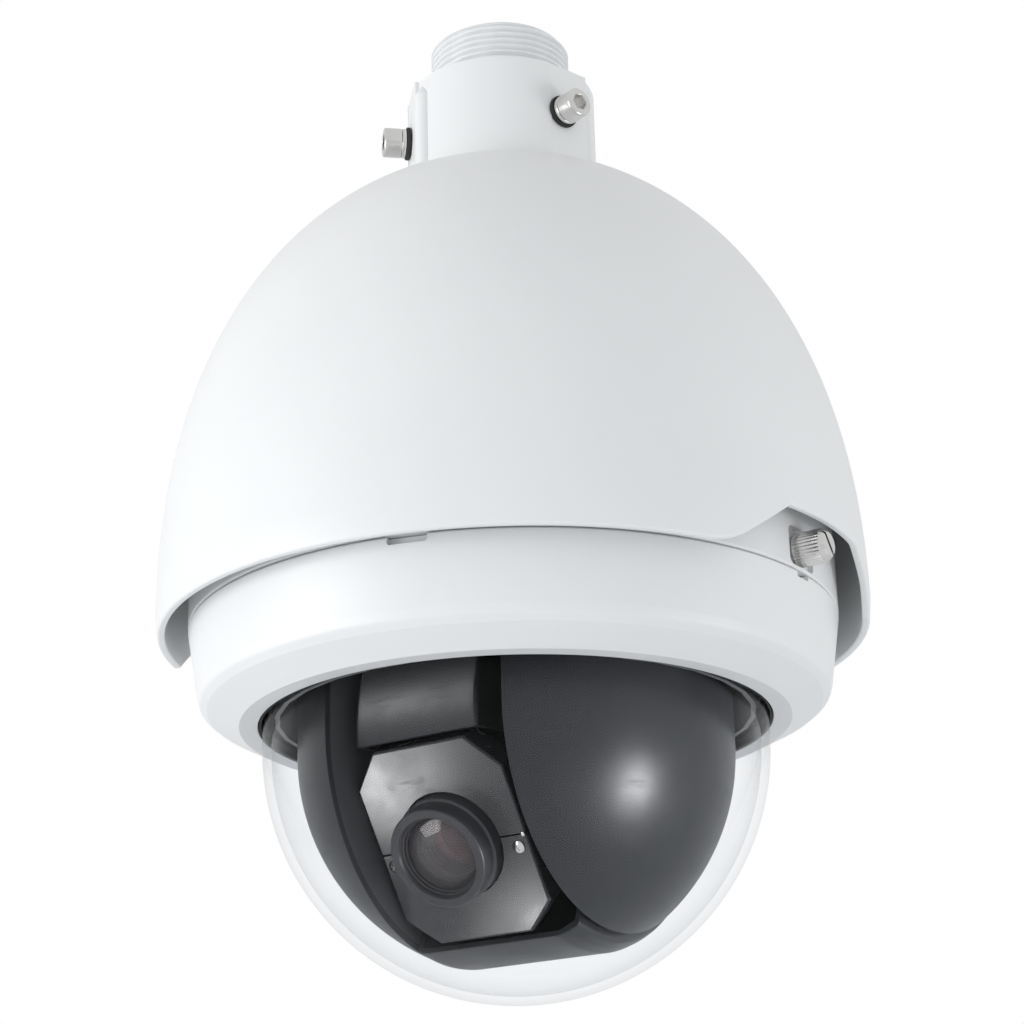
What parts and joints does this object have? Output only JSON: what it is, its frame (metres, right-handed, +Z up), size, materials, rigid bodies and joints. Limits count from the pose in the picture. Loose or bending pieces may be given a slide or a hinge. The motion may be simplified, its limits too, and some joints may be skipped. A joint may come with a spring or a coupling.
{
  "type": "pendant pan tilt zoom dome camera",
  "caption": "Outdoor pendant dome camera: threaded pipe neck, sun shield, clear lower dome and a ball-shaped head that pans, tilts and zooms.",
  "frame": {"origin": "centre of the pipe thread's end face at the top, where the pole or bracket takes over; the camera hangs below it", "axes": "+Z up along the pan axis and the pipe thread; -Y is the front, from which the lens looks 32.7 degrees to the left and 34.1 degrees down at rest"},
  "size_m": [0.2262, 0.2262, 0.3279],
  "materials": {
    "white_paint": "satin powder coat, fine grain",
    "stainless": "bright stainless steel",
    "dark_abs": "charcoal satin plastic",
    "black_abs": "black matt plastic",
    "rubber": "black seal rubber",
    "clear_dome": "clear moulded polycarbonate, gloss",
    "lens_glass": "coated optical glass",
    "aluminium": "machined aluminium",
    "circuit_board": "green solder mask with black parts",
    "motor_black": "black painted steel"
  },
  "bodies": {
    "housing": {"thread_adaptor": "white_paint", "neck_collar": "white_paint", "collar_screw_1": "stainless", "collar_seal_washer_1": "rubber", "collar_spring_washer_1": "stainless", "collar_screw_2": "stainless", "collar_seal_washer_2": "rubber", "collar_spring_washer_2": "stainless", "collar_screw_3": "stainless", "collar_seal_washer_3": "rubber", "collar_spring_washer_3": "stainless", "sun_shield": "white_paint", "shield_screw_1": "stainless", "shield_screw_2": "stainless", "shield_screw_3": "stainless", "upper_housing": "white_paint", "housing_seal": "rubber", "dome_ring": "white_paint", "dome_bubble": "clear_dome", "dome_gasket": "rubber", "bubble_clamp_ring": "black_abs", "clamp_screw_1": "stainless", "clamp_screw_2": "stainless", "clamp_screw_3": "stainless", "dome_baffle": "black_abs", "chassis_plate": "aluminium", "pan_bearing": "stainless", "slip_ring_housing": "black_abs", "main_board": "circuit_board", "power_board": "circuit_board", "pan_motor": "motor_black", "pan_belt": "rubber"},
    "thumbscrew_1": {"thumbscrew_1": "stainless"},
    "thumbscrew_2": {"thumbscrew_2": "stainless"},
    "pan_motor_rotor": {"pan_motor_pulley": "aluminium"},
    "pan_head": {"turntable": "aluminium", "pan_pulley": "aluminium", "slip_ring_rotor": "black_abs", "cheek_left": "dark_abs", "cheek_right": "dark_abs", "yoke_arm_left": "black_abs", "yoke_arm_right": "black_abs", "tilt_motor": "motor_black", "tilt_belt": "rubber"},
    "tilt_motor_rotor": {"tilt_motor_pulley": "aluminium"},
    "camera": {"camera_module": "black_abs", "front_cover_upper": "dark_abs", "front_cover_lower": "dark_abs", "cover_screw_left": "stainless", "cover_screw_right": "stainless", "drum_hood": "dark_abs", "tilt_drum": "dark_abs", "lens_barrel": "black_abs", "front_glass": "lens_glass", "sensor_board": "circuit_board", "tilt_axle_left": "stainless", "tilt_axle_right": "stainless", "tilt_pulley": "aluminium"},
    "zoom_group": {"zoom_lens_group": "black_abs"}
  },
  "joints": [
    {"name": "pan", "type": "hinge", "parent": "housing", "child": "pan_head", "pos_m": [0, 0, -0.2425], "axis": [0, 0, 1], "continuous": true},
    {"name": "pan_motor_spin", "type": "hinge", "parent": "housing", "child": "pan_motor_rotor", "pos_m": [0, 0.055, -0.1725], "axis": [0, 0, 1], "continuous": true},
    {"name": "tilt", "type": "hinge", "parent": "pan_head", "child": "camera", "pos_m": [0, 0, -0.2508], "axis": [0.8415, -0.5402, 0], "range_deg": [-34, 56]},
    {"name": "tilt_motor_spin", "type": "hinge", "parent": "pan_head", "child": "tilt_motor_rotor", "pos_m": [0, 0, -0.2065], "axis": [0.8415, -0.5402, 0], "range_deg": [-108, 178]},
    {"name": "zoom", "type": "slide", "parent": "camera", "child": "zoom_group", "axis": [-0.4474, -0.6968, -0.5606], "range_m": [-0.012, 0.012]},
    {"name": "thumbscrew_1_turn", "type": "hinge", "parent": "housing", "child": "thumbscrew_1", "pos_m": [0.08806, -0.05719, -0.2049], "axis": [0.8387, -0.5446, 0], "continuous": true},
    {"name": "thumbscrew_2_turn", "type": "hinge", "parent": "housing", "child": "thumbscrew_2", "pos_m": [-0.08806, 0.05719, -0.2049], "axis": [-0.8387, 0.5446, 0], "continuous": true}
  ],
  "couplings": [
    {"joint": "pan_motor_spin", "follows": "pan", "ratio": 3.5294},
    {"joint": "tilt_motor_spin", "follows": "tilt", "ratio": 3.1429}
  ]
}
